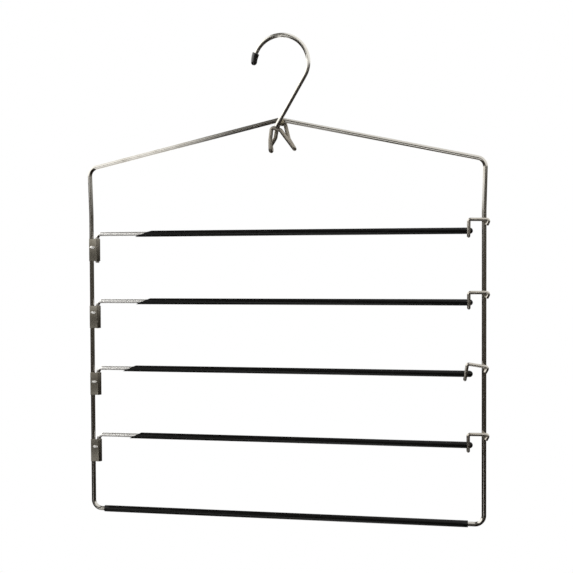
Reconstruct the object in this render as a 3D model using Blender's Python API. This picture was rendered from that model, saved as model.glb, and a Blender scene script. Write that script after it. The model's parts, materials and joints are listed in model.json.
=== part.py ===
"""Multi tier trouser hanger: a bent wire frame, a rail hook and four swing-out arms.

Run with blender --background --python part.py, or from Blender's text editor.
Metres, +Z up. The front, where the latches show, faces -Y. The origin is the point
at the hook's inner crown that bears on the wardrobe rail.
"""

import math

import bmesh
import bpy
from mathutils import Matrix, Vector

# Gaps
SEAT_GAP = 0.0003           # between two pieces that are welded or pushed together
PIN_GAP = 0.0003            # all round an arm's leg in its knuckle

# Frame: one closed loop of wire, an apex, two shoulders and two bottom corners
FRAME_WIDTH = 0.380         # between the axes of the two uprights
SHOULDER_DROP = 0.043       # apex down to the left shoulder corner
SHOULDER_DROP_RIGHT = 0.0417
SPLAY = 0.0013              # the bends spring outwards beyond the uprights by this much
SPLAY_LENGTH = 0.045        # shoulder corner down to where the upright is straight
FRAME_WIRE = 0.0043
FRAME_BEND_R = 0.0085
SPLAY_BEND_R = 0.15
APEX_BEND_R = 0.006

# Bottom bar sleeve
BOTTOM_SLEEVE_D = 0.0063
BOTTOM_SLEEVE_INSET = 0.0115      # upright axis to the sleeve's left end
BOTTOM_SLEEVE_INSET_RIGHT = 0.0145

# Rail hook: an arc above the apex, and a straight shank that touches the arc
HOOK_WIRE = 0.0042
HOOK_BEND_R = 0.026
HOOK_RISE = 0.0527          # apex up to the centre of the arc
HOOK_OFFSET = 0.0011        # where the shank crosses, to the latch side of the apex
HOOK_SWAY = 0.0007          # centre of the arc, to the latch side of that crossing
SHANK_TAIL = 0.0088         # shank below the apex, along the shank
HOOK_END_ANGLE = math.radians(183)      # round the arc from the far side to the cap's tip

# Cap on the hook's tip
CAP_LENGTH = 0.0114
CAP_MOUTH_D = 0.0068
CAP_TIP_D = 0.0058
CAP_END_WALL = 0.0015

# Belt loops: one wire bent like a bow. Its ends are welded behind the apex, and the bar
# between its front strands is welded behind the shank's tail.
LOOP_WIRE = 0.0038
LOOP_DROP = 0.0294          # apex down to the lowest bends
LOOP_BEND_R = 0.0022
LOOP_END_SPACING = 0.0042   # between the two ends, which stand side by side

# Corners of the bow between its two ends: x and z as shares of LOOP_DROP, and y as a share
# of the way from the front strands to the back ones
LOOP_CORNER_SHARES = (
    (-0.147, 1.0, -0.320),
    (-0.190, 1.0, -0.573),
    (-0.340, 1.0, -0.810),
    (-0.307, 1.0, -1.0),
    (-0.327, 0.0, -1.0),
    (-0.330, 0.0, -0.650),
    (-0.280, 0.0, -0.243),
    (0.010, 0.0, -0.340),
    (0.165, 0.0, -0.553),
    (0.457, 0.0, -0.947),
    (0.450, 1.0, -0.947),
    (0.253, 1.0, -0.620),
)

# Arms
TIERS = 4
TIER_TOP_DROP = 0.107       # apex down to the top arm
TIER_PITCH = 0.066
BOTTOM_SPACE = 0.0735       # bottom arm down to the bottom bar
ARM_WIRE = 0.0040
ARM_BEND_R = 0.004
ARM_PAST_LATCH = 0.0037     # sleeve end beyond the latch's leg
TOP_LEG_SHOWS = 0.0018      # the top arm's leg below its knuckle
LEG_SHOWS = 0.0004          # the other legs below theirs

# Arm sleeves, cut at a slant on the hinge side
SLEEVE_D = 0.0060
SLEEVE_END_WALL = 0.0012
ARM_BARE = 0.0389           # bare wire from the hinge axis to the top arm's lip
BARE_SHARES = (1.0, 1.01, 0.65, 0.81)
MITRE_LENGTH = 0.017
MITRE_SHARES = (1.0, 0.87, 0.79, 0.72)

# Hinge knuckles: sheet rolled round the arm's leg, its flange on the front of the upright
KNUCKLE_SHEET = 0.0005
KNUCKLE_LENGTH = 0.022
KNUCKLE_STANDOFF = 0.0010   # between the upright and the roll
KNUCKLE_REVEAL = 0.0005     # straight leg between the arm's bend and the knuckle
FLANGE_PAST_AXIS = 0.0016   # flange beyond the upright's axis
ROLL_END = math.radians(215)

# Latches: wire, welded across the front of the right upright
LATCH_WIRE = 0.0032
LATCH_REACH = 0.0138        # upright axis to the leg
LATCH_RISE = 0.0095         # top wire above the arm's axis
RISE_SHARES = (1.08, 0.97, 1.02, 1.13)
LATCH_TURN = math.radians(9)      # the latch that was welded on least straight
TURN_SHARES = (0.1, 0.0, 1.0, 0.0)
LATCH_SHIFT = 0.0012              # the one that was welded on furthest inwards
SHIFT_SHARES = (0.0, 0.0, 1.0, 0.4)
LATCH_BEND_R = 0.0018
HAIRPIN_R = 0.0017
HAIRPIN_PAST = 0.0048       # hairpin's corner, before it is rounded, beyond the upright's axis
RETURN_DROP = 0.0052        # hairpin's corner down to the wire's end
RETURN_PAST = 0.0022        # the wire's end beyond the upright's axis
FOOT_LENGTH = 0.0060

# Facets
BEND_STEP = math.radians(10)
HOOK_STEP = math.radians(5)
THICK_WIRE_ROUNDING = 5     # bevel resolution: 14 sides
THIN_WIRE_ROUNDING = 4      # 12 sides
SLEEVE_SIDES = 24
CAP_SIDES = 18
CAP_RINGS = 5
ROLL_STEPS = 22
DOME_STEPS = 5
SMOOTH_ANGLE = math.radians(40)
MERGE = 0.00001

# Colours
CHROME_COLOUR = (0.60, 0.58, 0.53, 1.0)
CHROME_ROUGHNESS = 0.18
STEEL_COLOUR = (0.46, 0.43, 0.38, 1.0)
STEEL_ROUGHNESS = 0.32
VINYL_COLOUR = (0.012, 0.012, 0.013, 1.0)
VINYL_ROUGHNESS = 0.34

# Places worked out from the sizes above
ARC_CENTRE_Z = HOOK_WIRE / 2 - HOOK_BEND_R
APEX_Z = ARC_CENTRE_Z - HOOK_RISE
FRAME_X = -HOOK_OFFSET - HOOK_SWAY
FRAME_Y = (HOOK_WIRE + FRAME_WIRE) / 2 + SEAT_GAP
HALF_WIDTH = FRAME_WIDTH / 2
BOTTOM_Z = APEX_Z - TIER_TOP_DROP - TIER_PITCH * (TIERS - 1) - BOTTOM_SPACE
SHOULDER_SLOPE = SHOULDER_DROP / HALF_WIDTH
KNUCKLE_BORE_R = ARM_WIRE / 2 + PIN_GAP
KNUCKLE_R = KNUCKLE_BORE_R + KNUCKLE_SHEET
PIN_X = FRAME_X - HALF_WIDTH + FRAME_WIRE / 2 + KNUCKLE_STANDOFF + KNUCKLE_R
PIN_Y = FRAME_Y - FRAME_WIRE / 2 - SEAT_GAP + KNUCKLE_BORE_R
KNUCKLE_TOP = ARM_BEND_R + KNUCKLE_REVEAL
ARM_REACH = FRAME_X + HALF_WIDTH - LATCH_REACH + ARM_PAST_LATCH - PIN_X


def material(name, colour, roughness, metallic):
    """One Principled material for one sub-part."""
    made = bpy.data.materials.new(name)
    made.use_nodes = True
    shader = made.node_tree.nodes["Principled BSDF"]
    shader.inputs["Base Color"].default_value = colour
    shader.inputs["Roughness"].default_value = roughness
    shader.inputs["Metallic"].default_value = metallic
    made.diffuse_color = colour
    return made


def chrome(name):
    return material(name, CHROME_COLOUR, CHROME_ROUGHNESS, 1.0)


def vinyl(name):
    return material(name, VINYL_COLOUR, VINYL_ROUGHNESS, 0.0)


def add_object(name, data, finish, place=(0, 0, 0), parent=None):
    """Put a mesh or curve into the scene under its node name."""
    data.materials.append(finish)
    made = bpy.data.objects.new(name, data)
    made.location = place
    made.parent = parent
    bpy.context.collection.objects.link(made)
    return made


def add_pivot(name, place):
    """An empty on a joint's axis, the parent of what swings there."""
    pivot = bpy.data.objects.new(name, None)
    pivot.empty_display_size = KNUCKLE_LENGTH
    pivot.location = place
    bpy.context.collection.objects.link(pivot)
    return pivot


def mesh_from(work, name):
    """Finish a bmesh: outward faces, smooth rounds and sharp edges."""
    bmesh.ops.recalc_face_normals(work, faces=work.faces)
    mesh = bpy.data.meshes.new(name)
    work.to_mesh(mesh)
    work.free()
    mesh.shade_smooth()
    mesh.set_sharp_from_angle(angle=SMOOTH_ANGLE)
    return mesh


def arc(centre, radius, start, end, step):
    """Points on an arc in the XZ plane, both ends included."""
    count = max(1, round(abs(end - start) / step))
    points = []
    for index in range(count + 1):
        angle = start + (end - start) * index / count
        points.append(Vector((centre[0] + radius * math.cos(angle), centre[1],
                              centre[2] + radius * math.sin(angle))))
    return points


def bend(before, corner, after, radius, step):
    """Points on the arc that rounds one corner of a bent wire."""
    inward = (corner - before).normalized()
    outward = (after - corner).normalized()
    turn = inward.angle(outward)
    axis = inward.cross(outward).normalized()
    start = corner - inward * radius * math.tan(turn / 2)
    to_centre = axis.cross(inward) * radius
    count = max(2, round(turn / step))
    points = []
    for index in range(count + 1):
        turned = Matrix.Rotation(turn * index / count, 3, axis) @ -to_centre
        points.append(start + to_centre + turned)
    return points


def bent_path(corners, radii, closed=False):
    """A wire's centre line: its corners in turn, each rounded by its own radius."""
    corners = [Vector(corner) for corner in corners]
    points = []
    for index, corner in enumerate(corners):
        before = corners[index - 1]
        after = corners[(index + 1) % len(corners)]
        if not closed and index in (0, len(corners) - 1):
            points.append(corner)
        else:
            points.extend(bend(before, corner, after, radii[index], BEND_STEP))
    return points


def wire(name, points, diameter, rounding, closed=False, place=(0, 0, 0), parent=None):
    """A round wire along a centre line."""
    curve = bpy.data.curves.new(name, "CURVE")
    curve.dimensions = "3D"
    curve.bevel_depth = diameter / 2
    curve.bevel_resolution = rounding
    curve.use_fill_caps = True
    spline = curve.splines.new("POLY")
    spline.points.add(len(points) - 1)
    for spot, point in zip(spline.points, points):
        spot.co = (*point, 1.0)
    spline.use_cyclic_u = closed
    spline.use_smooth = True
    return add_object(name, curve, chrome(name), place, parent)


def turned(profile, sides):
    """Turn a profile of (length, radius) pairs round the X axis into a closed solid."""
    work = bmesh.new()
    spots = [work.verts.new((length, 0, radius)) for length, radius in profile]
    for start, end in zip(spots, spots[1:] + spots[:1]):
        work.edges.new((start, end))
    bmesh.ops.spin(work, geom=work.verts[:] + work.edges[:], cent=(0, 0, 0), axis=(1, 0, 0),
                   dvec=(0, 0, 0), angle=math.tau, steps=sides, use_duplicate=False)
    bmesh.ops.remove_doubles(work, verts=work.verts[:], dist=MERGE)
    bmesh.ops.dissolve_degenerate(work, edges=work.edges[:], dist=MERGE)
    return work


def domed_end(tip, radius, length):
    """Profile points of a rounded end: a quarter of an ellipse down to the axis."""
    points = []
    for index in range(DOME_STEPS + 1):
        angle = math.pi / 2 * index / DOME_STEPS
        points.append((tip - length + length * math.sin(angle), radius * math.cos(angle)))
    points[-1] = (tip, 0)
    return points


def spread(start, end, count):
    """Profile points along a straight line, so that it can be bent afterwards."""
    start = Vector(start)
    end = Vector(end)
    return [tuple(start.lerp(end, index / count)) for index in range(count + 1)]


def make_frame():
    bottom = BOTTOM_Z - APEX_Z
    straight_from = -SHOULDER_DROP - SPLAY_LENGTH
    corners = [
        (0, 0, 0),
        (HALF_WIDTH + SPLAY, 0, -SHOULDER_DROP_RIGHT),
        (HALF_WIDTH, 0, straight_from),
        (HALF_WIDTH, 0, bottom),
        (-HALF_WIDTH, 0, bottom),
        (-HALF_WIDTH, 0, straight_from),
        (-HALF_WIDTH - SPLAY, 0, -SHOULDER_DROP),
    ]
    radii = [APEX_BEND_R, FRAME_BEND_R, SPLAY_BEND_R, FRAME_BEND_R, FRAME_BEND_R, SPLAY_BEND_R,
             FRAME_BEND_R]
    wire("frame", bent_path(corners, radii, closed=True), FRAME_WIRE, THICK_WIRE_ROUNDING,
         closed=True, place=(FRAME_X, FRAME_Y, APEX_Z))


def make_bottom_sleeve():
    """A plain tube slid on the bottom bar before the loop was closed."""
    left = BOTTOM_SLEEVE_INSET - HALF_WIDTH
    right = HALF_WIDTH - BOTTOM_SLEEVE_INSET_RIGHT
    outer = BOTTOM_SLEEVE_D / 2
    bore = FRAME_WIRE / 2 + SEAT_GAP
    work = turned([(left, outer), (right, outer), (right, bore), (left, bore)], SLEEVE_SIDES)
    add_object("bottom_sleeve", mesh_from(work, "bottom_sleeve"), vinyl("bottom_sleeve"),
               (FRAME_X, FRAME_Y, BOTTOM_Z))


def make_hook():
    """The shank crosses in front of the apex, on the line from there that touches the arc."""
    to_centre = math.hypot(HOOK_SWAY, HOOK_RISE)
    tilt = math.asin(HOOK_BEND_R / to_centre) + math.atan2(HOOK_SWAY, HOOK_RISE)
    along = Vector((math.sin(tilt), 0, math.cos(tilt)))
    tail = Vector((-HOOK_SWAY, 0, APEX_Z)) - along * SHANK_TAIL
    wire_end = HOOK_END_ANGLE - (CAP_END_WALL + SEAT_GAP) / HOOK_BEND_R
    crook = arc((0, 0, ARC_CENTRE_Z), HOOK_BEND_R, -tilt, wire_end, HOOK_STEP)
    wire("hook", [tail] + crook, HOOK_WIRE, THICK_WIRE_ROUNDING)


def make_hook_tip_cap():
    """A moulded cap, wider at its mouth, bent along with the hook's arc."""
    mouth = CAP_MOUTH_D / 2
    tip = CAP_TIP_D / 2
    bore = HOOK_WIRE / 2 + SEAT_GAP
    bore_end = CAP_LENGTH - CAP_END_WALL
    profile = spread((0, mouth), (CAP_LENGTH - tip, tip), CAP_RINGS)
    profile += domed_end(CAP_LENGTH, tip, tip)[1:]
    profile += [(bore_end, 0)] + spread((bore_end, bore), (0, bore), CAP_RINGS)
    work = turned(profile, CAP_SIDES)
    mouth_angle = HOOK_END_ANGLE - CAP_LENGTH / HOOK_BEND_R
    for spot in work.verts:
        angle = mouth_angle + spot.co.x / HOOK_BEND_R
        reach = HOOK_BEND_R + spot.co.z
        spot.co = (reach * math.cos(angle), spot.co.y, ARC_CENTRE_Z + reach * math.sin(angle))
    add_object("hook_tip_cap", mesh_from(work, "hook_tip_cap"), vinyl("hook_tip_cap"))


def make_belt_loops():
    """The wire runs down the back, up the front and across, and the same on the right."""
    left_x = HOOK_OFFSET - LOOP_END_SPACING / 2
    right_x = HOOK_OFFSET + LOOP_END_SPACING / 2
    end_z = -right_x * SHOULDER_SLOPE
    front = (LOOP_WIRE - FRAME_WIRE) / 2
    back = (LOOP_WIRE + FRAME_WIRE) / 2 + SEAT_GAP
    corners = [(left_x, back, end_z)]
    for across, depth, up in LOOP_CORNER_SHARES:
        corners.append((across * LOOP_DROP, front + depth * (back - front), up * LOOP_DROP))
    corners.append((right_x, back, end_z))
    path = bent_path(corners, [LOOP_BEND_R] * len(corners))
    wire("belt_loops", path, LOOP_WIRE, THICK_WIRE_ROUNDING, place=(FRAME_X, FRAME_Y, APEX_Z))


def make_knuckle(number, height):
    """Flange, front of the roll, round its far side and back, then the inner side again."""
    flange_end = FRAME_X - HALF_WIDTH - FLANGE_PAST_AXIS - PIN_X
    outline = [(flange_end, -KNUCKLE_BORE_R), (flange_end, -KNUCKLE_R)]
    for radius, order in ((KNUCKLE_R, 1), (KNUCKLE_BORE_R, -1)):
        rim = []
        for index in range(ROLL_STEPS + 1):
            angle = -math.pi / 2 + (ROLL_END + math.pi / 2) * index / ROLL_STEPS
            rim.append((radius * math.cos(angle), radius * math.sin(angle)))
        outline += rim[::order]
    work = bmesh.new()
    bottom = -KNUCKLE_TOP - KNUCKLE_LENGTH
    face = work.faces.new([work.verts.new((x, y, bottom)) for x, y in outline])
    grown = bmesh.ops.extrude_face_region(work, geom=[face])
    lifted = [item for item in grown["geom"] if isinstance(item, bmesh.types.BMVert)]
    bmesh.ops.translate(work, vec=(0, 0, KNUCKLE_LENGTH), verts=lifted)
    name = f"hinge_knuckle_{number}"
    add_object(name, mesh_from(work, name),
               material(name, STEEL_COLOUR, STEEL_ROUGHNESS, 1.0), (PIN_X, PIN_Y, height))


def make_arm(number, height):
    """The arm's wire turns down into the knuckle, and its sleeve covers the rest."""
    pivot = add_pivot(f"arm_pivot_{number}", (PIN_X, PIN_Y, height))
    shows = TOP_LEG_SHOWS if number == 1 else LEG_SHOWS
    leg = KNUCKLE_TOP + KNUCKLE_LENGTH + shows
    wire_end = ARM_REACH - SLEEVE_END_WALL - SEAT_GAP
    path = bent_path([(0, 0, -leg), (0, 0, 0), (wire_end, 0, 0)], [ARM_BEND_R] * 3)
    wire(f"arm_wire_{number}", path, ARM_WIRE, THICK_WIRE_ROUNDING, parent=pivot)

    lip = ARM_BARE * BARE_SHARES[(number - 1) % len(BARE_SHARES)]
    mitre = MITRE_LENGTH * MITRE_SHARES[(number - 1) % len(MITRE_SHARES)]
    outer = SLEEVE_D / 2
    bore = ARM_WIRE / 2 + SEAT_GAP
    bore_end = ARM_REACH - SLEEVE_END_WALL
    profile = [(lip, outer)] + domed_end(ARM_REACH, outer, outer)
    profile += [(bore_end, 0), (bore_end, bore), (lip, bore)]
    work = turned(profile, SLEEVE_SIDES)
    for spot in work.verts:
        if abs(spot.co.x - lip) < MERGE:
            spot.co.x += mitre * (spot.co.z + outer) / SLEEVE_D
    name = f"arm_sleeve_{number}"
    add_object(name, mesh_from(work, name), vinyl(name), parent=pivot)


def make_latch(number, height):
    """From the foot under the arm, up the leg, across the upright and back in a hairpin."""
    weld_y = -(FRAME_WIRE + LATCH_WIRE) / 2 - SEAT_GAP
    arm_y = PIN_Y - FRAME_Y
    clear_of_arm = (SLEEVE_D + LATCH_WIRE) / 2 + SEAT_GAP
    leg_y = arm_y - clear_of_arm
    rise = LATCH_RISE * RISE_SHARES[(number - 1) % len(RISE_SHARES)]
    slant = math.tan(LATCH_TURN * TURN_SHARES[(number - 1) % len(TURN_SHARES)])
    shift = LATCH_SHIFT * SHIFT_SHARES[(number - 1) % len(SHIFT_SHARES)]
    foot_x = -LATCH_REACH - slant * (rise + clear_of_arm)
    hairpin_z = rise - slant * (LATCH_REACH + HAIRPIN_PAST)
    corners = [
        (foot_x, leg_y + FOOT_LENGTH, -clear_of_arm),
        (foot_x, leg_y, -clear_of_arm),
        (-LATCH_REACH, leg_y, rise),
        (HAIRPIN_PAST, weld_y, hairpin_z),
        (RETURN_PAST, weld_y, hairpin_z - RETURN_DROP),
    ]
    radii = [0, LATCH_BEND_R, LATCH_BEND_R, HAIRPIN_R, 0]
    wire(f"latch_{number}", bent_path(corners, radii), LATCH_WIRE, THIN_WIRE_ROUNDING,
         place=(FRAME_X + HALF_WIDTH - shift, FRAME_Y, height))


for old in list(bpy.data.objects):
    bpy.data.objects.remove(old, do_unlink=True)

make_frame()
make_bottom_sleeve()
make_hook()
make_hook_tip_cap()
make_belt_loops()
for tier in range(TIERS):
    tier_z = APEX_Z - TIER_TOP_DROP - TIER_PITCH * tier
    make_knuckle(tier + 1, tier_z)
    make_arm(tier + 1, tier_z)
    make_latch(tier + 1, tier_z)
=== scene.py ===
"""Multi tier trouser hanger: the finished surfaces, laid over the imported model.

Metres, +Z up, the front faces -Y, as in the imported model. Each new piece is a surface
worked out with numpy from the sizes beside it, and rides on the body that carries it.
"""

import json
import math

import bpy
import numpy as np
from mathutils import Matrix, Vector

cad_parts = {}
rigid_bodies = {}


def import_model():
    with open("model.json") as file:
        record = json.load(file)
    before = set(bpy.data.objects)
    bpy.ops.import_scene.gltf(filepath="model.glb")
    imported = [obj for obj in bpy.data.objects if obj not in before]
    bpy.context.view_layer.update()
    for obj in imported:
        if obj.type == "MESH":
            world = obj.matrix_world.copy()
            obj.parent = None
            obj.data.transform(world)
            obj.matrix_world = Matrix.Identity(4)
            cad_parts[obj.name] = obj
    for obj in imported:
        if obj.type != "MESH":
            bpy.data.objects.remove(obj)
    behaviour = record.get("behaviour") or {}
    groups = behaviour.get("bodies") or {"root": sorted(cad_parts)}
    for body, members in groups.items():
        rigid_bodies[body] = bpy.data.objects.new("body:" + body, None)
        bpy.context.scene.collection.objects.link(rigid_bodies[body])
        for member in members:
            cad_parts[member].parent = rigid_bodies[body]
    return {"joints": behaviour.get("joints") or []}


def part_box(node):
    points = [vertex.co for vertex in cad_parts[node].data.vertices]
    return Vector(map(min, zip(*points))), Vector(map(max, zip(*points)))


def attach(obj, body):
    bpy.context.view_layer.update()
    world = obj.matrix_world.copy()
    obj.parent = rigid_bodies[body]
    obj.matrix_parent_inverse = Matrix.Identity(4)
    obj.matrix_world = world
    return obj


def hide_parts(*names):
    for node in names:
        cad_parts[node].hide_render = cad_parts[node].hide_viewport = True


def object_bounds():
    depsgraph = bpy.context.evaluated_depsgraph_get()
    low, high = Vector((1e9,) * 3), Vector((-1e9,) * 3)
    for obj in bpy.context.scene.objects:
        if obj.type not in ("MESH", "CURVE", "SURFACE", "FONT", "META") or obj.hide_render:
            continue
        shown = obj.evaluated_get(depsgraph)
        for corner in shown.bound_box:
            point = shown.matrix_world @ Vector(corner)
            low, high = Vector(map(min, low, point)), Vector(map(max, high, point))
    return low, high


for old in list(bpy.data.objects):
    bpy.data.objects.remove(old, do_unlink=True)
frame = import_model()
cad_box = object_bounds()

# Camera: level with the second arm, a little to the latch side, turned back towards the
# middle. The photograph is square, so the sensor's width sets both angles of view.
CAMERA_PLACE = (0.17755, -0.93141, -0.21045)
CAMERA_YAW = math.radians(10.53)
CAMERA_PITCH = math.radians(-1.48)
CAMERA_ROLL = math.radians(-0.24)
SENSOR_WIDTH = 36.0
FOCAL_SHARE = 1000 / 573     # focal length over the picture's width
CLIP_START = 0.01

camera = bpy.data.objects.new("camera", bpy.data.cameras.new("camera"))
camera.data.sensor_width = SENSOR_WIDTH
camera.data.lens = FOCAL_SHARE * SENSOR_WIDTH
camera.data.clip_start = CLIP_START
camera.matrix_world = (Matrix.Translation(CAMERA_PLACE) @ Matrix.Rotation(CAMERA_YAW, 4, "Z")
                       @ Matrix.Rotation(math.pi / 2 + CAMERA_PITCH, 4, "X")
                       @ Matrix.Rotation(CAMERA_ROLL, 4, "Z"))
bpy.context.scene.collection.objects.link(camera)
bpy.context.scene.camera = camera
bpy.context.scene.view_settings.view_transform = "Standard"


# Studio: the camera sees plain white. The metal mirrors a dark room with white panels above
# a level horizon on both sides of a dark curtain, and a lit floor on the hinge side. Each
# edge is a pair of heights or sides of a unit direction, between which it fades.
WHITE = (1.0, 1.0, 1.0)
ROOM_LOW = (0.012, 0.008, 0.005)        # the room well below the horizon
ROOM_NEAR = (0.064, 0.056, 0.044)       # the room at the horizon
ROOM_FADE = (-0.25, 0.0)
CURTAIN = (0.115, 0.110, 0.098)
CURTAIN_FADE = (0.0, 0.3)
CURTAIN_EDGE_LEFT = (-0.22, -0.27)
CURTAIN_EDGE_RIGHT = (0.05, 0.20)
LEAN = 0.22                             # edges lean outwards by this much of the height
PANEL_LEFT = (1.75, 1.74, 1.71)
PANEL_RIGHT = (1.10, 1.09, 1.07)
HORIZON_LEFT = (0.045, 0.12)            # where each panel starts
HORIZON_RIGHT = (0.08, 0.19)
STRIP_EDGE = (-0.40, -0.345)            # far edge of the lit strip of floor
STRIP_TOP = (-0.16, -0.24)
FAR_FLOOR_NEAR = (-0.31, -0.36)         # near and far edges of the dimly lit floor
FAR_FLOOR_FAR = (-0.54, -0.44)
FAR_FLOOR_TOP = (-0.22, -0.30)
FAR_FLOOR_SHARE = 0.45
STEEP = (0.60, 0.92)                    # the left side fades straight overhead and underfoot
STEEP_SHARE = 0.42
BEHIND = (0.94, 0.985)                  # the white wall straight behind
SOFT_LIGHT = 0.80                       # what matt surfaces receive from all round

world = bpy.data.worlds.new("studio")
bpy.context.scene.world = world
world.use_nodes = True
tree = world.node_tree
tree.nodes.clear()


def maths(tree, operation, first, second=None):
    """One step of arithmetic on links or plain numbers."""
    made = tree.nodes.new("ShaderNodeMath")
    made.operation = operation
    for socket, value in zip(made.inputs, (first, second)):
        if isinstance(value, bpy.types.NodeSocket):
            tree.links.new(value, socket)
        elif value is not None:
            socket.default_value = value
    return made.outputs[0]


def ease(tree, value, low, high):
    """A smooth step from 0 at low to 1 at high, whichever of the two is larger."""
    made = tree.nodes.new("ShaderNodeMapRange")
    made.interpolation_type = "SMOOTHSTEP"
    for name, given in (("Value", value), ("From Min", low), ("From Max", high)):
        if isinstance(given, bpy.types.NodeSocket):
            tree.links.new(given, made.inputs[name])
        else:
            made.inputs[name].default_value = given
    return made.outputs["Result"]


def blend_colours(tree, share, first, second):
    """first where share is 0, second where it is 1."""
    made = tree.nodes.new("ShaderNodeMix")
    made.data_type = "RGBA"
    for socket, value in zip((made.inputs[0], made.inputs[6], made.inputs[7]),
                             (share, first, second)):
        if isinstance(value, bpy.types.NodeSocket):
            tree.links.new(value, socket)
        elif isinstance(value, (int, float)):
            socket.default_value = value
        else:
            socket.default_value = (*value[:3], 1)
    return made.outputs[2]


direction = tree.nodes.new("ShaderNodeTexCoord").outputs["Generated"]
split = tree.nodes.new("ShaderNodeSeparateXYZ")
tree.links.new(direction, split.inputs[0])
side, depth, height = split.outputs
across = maths(tree, "ADD", side, maths(tree, "MULTIPLY", height, LEAN))
room = blend_colours(tree, ease(tree, height, *ROOM_FADE), ROOM_LOW, ROOM_NEAR)
room = blend_colours(tree, ease(tree, height, *CURTAIN_FADE), room, CURTAIN)
strip = maths(tree, "MULTIPLY", ease(tree, across, *STRIP_EDGE), ease(tree, height, *STRIP_TOP))
far_floor = maths(tree, "MULTIPLY", ease(tree, side, *FAR_FLOOR_NEAR),
                  ease(tree, side, *FAR_FLOOR_FAR))
far_floor = maths(tree, "MULTIPLY", far_floor, ease(tree, height, *FAR_FLOOR_TOP))
far_floor = maths(tree, "MULTIPLY", far_floor, FAR_FLOOR_SHARE)
left = maths(tree, "MAXIMUM", ease(tree, height, *HORIZON_LEFT), strip)
left = maths(tree, "MAXIMUM", left, far_floor)
left = maths(tree, "MULTIPLY", ease(tree, across, *CURTAIN_EDGE_LEFT), left)
steep = ease(tree, maths(tree, "ABSOLUTE", height), *STEEP)
unfaded = maths(tree, "SUBTRACT", 1.0, maths(tree, "MULTIPLY", steep, STEEP_SHARE))
left = maths(tree, "MULTIPLY", left, unfaded)
right = maths(tree, "MULTIPLY", ease(tree, across, *CURTAIN_EDGE_RIGHT),
              ease(tree, height, *HORIZON_RIGHT))
seen = blend_colours(tree, left, room, PANEL_LEFT)
seen = blend_colours(tree, right, seen, PANEL_RIGHT)
seen = blend_colours(tree, ease(tree, depth, *BEHIND), seen, WHITE)

light_path = tree.nodes.new("ShaderNodeLightPath")
shown = blend_colours(tree, light_path.outputs["Is Glossy Ray"], (SOFT_LIGHT,) * 3, seen)
white_rays = maths(tree, "MAXIMUM", light_path.outputs["Is Camera Ray"],
                   light_path.outputs["Is Transmission Ray"])
shown = blend_colours(tree, white_rays, shown, WHITE)
background = tree.nodes.new("ShaderNodeBackground")
tree.links.new(shown, background.inputs["Color"])
out = tree.nodes.new("ShaderNodeOutputWorld")
tree.links.new(background.outputs[0], out.inputs["Surface"])


# Lamps: one broad panel high on the hinge side, which shapes the matt surfaces a little.
# The metal and the vinyl don't mirror it.
LAMP_PLACE = (-1.1, -1.3, 0.9)
LAMP_SIZE = 1.2
LAMP_POWER = 9.0

lamp = bpy.data.objects.new("soft_lamp", bpy.data.lights.new("soft_lamp", "AREA"))
lamp.data.size = LAMP_SIZE
lamp.data.energy = LAMP_POWER
lamp.location = LAMP_PLACE
lamp.visible_glossy = False
lamp.rotation_euler = Vector(LAMP_PLACE).to_track_quat("Z", "Y").to_euler()
bpy.context.scene.collection.objects.link(lamp)


# Floor: a plain pale disc under the hanging object, as far down as a wardrobe's floor. It
# is part of the stage and isn't mirrored either.
FLOOR_DROP = 1.7
FLOOR_RADIUS = 3.6
FLOOR_SIDES = 96
FLOOR_COLOUR = (0.86, 0.86, 0.85, 1)
FLOOR_ROUGH = 0.9

turn = np.linspace(0, math.tau, FLOOR_SIDES, endpoint=False)
rim = np.stack([FLOOR_RADIUS * np.cos(turn), FLOOR_RADIUS * np.sin(turn),
                np.full(FLOOR_SIDES, cad_box[0].z - FLOOR_DROP)], 1)
floor_mesh = bpy.data.meshes.new("floor")
floor_mesh.from_pydata(rim.tolist(), [], [list(range(FLOOR_SIDES))])
floor = bpy.data.objects.new("floor", floor_mesh)
bpy.context.scene.collection.objects.link(floor)
floor.visible_glossy = False
floor_paint = bpy.data.materials.new("floor_paint")
floor_paint.use_nodes = True
floor_shader = floor_paint.node_tree.nodes["Principled BSDF"]
floor_shader.inputs["Base Color"].default_value = FLOOR_COLOUR
floor_shader.inputs["Roughness"].default_value = FLOOR_ROUGH
floor_mesh.materials.append(floor_paint)


# Frame: one loop of bright plated wire, bent over pins at the apex, the shoulders and the
# bottom corners. The plate is drawn-wire smooth, with a heat tint round each weld.
FRAME_X = -0.0018            # middle of the frame, to the hinge side of the rail's middle
APEX_Z = -0.0766             # where the slopes' axes meet
FRAME_WIDTH = 0.380          # between the axes of the two uprights
SHOULDER_DROP = 0.043        # apex down to the left shoulder corner
SHOULDER_DROP_RIGHT = 0.0417
SPLAY = 0.0013               # how far the shoulder bends spring outwards
SPLAY_LENGTH = 0.045         # shoulder corner down to where the upright is straight
SPLAY_BEND_R = 0.15
FRAME_BEND_R = 0.0085
APEX_BEND_R = 0.006
TIERS = 4
WELD_BELOW_TOP = 0.003       # a latch's weld below its highest point
WIRE_SIDES = 40
BEND_STEP = math.radians(4)
LEAST_BEND_RINGS = 3
RUN_STEP = 0.006             # between rings on a straight run
TIP_RINGS = 7
SHARP_ANGLE = math.radians(50)
PLATE = (0.60, 0.58, 0.54)
PLATE_DULL = (0.50, 0.47, 0.41)
HEAT_TINT = (0.24, 0.19, 0.12)
HEAT_REACH = 0.0045
DRAWN = 0.3                  # drawn wire spreads its highlights round it, not along it
RELIEF = 0.0002              # depth of the bumps in plate and vinyl


def unit(vectors):
    """Vectors shortened or stretched to length one."""
    return vectors / np.linalg.norm(vectors, axis=-1, keepdims=True)


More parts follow.
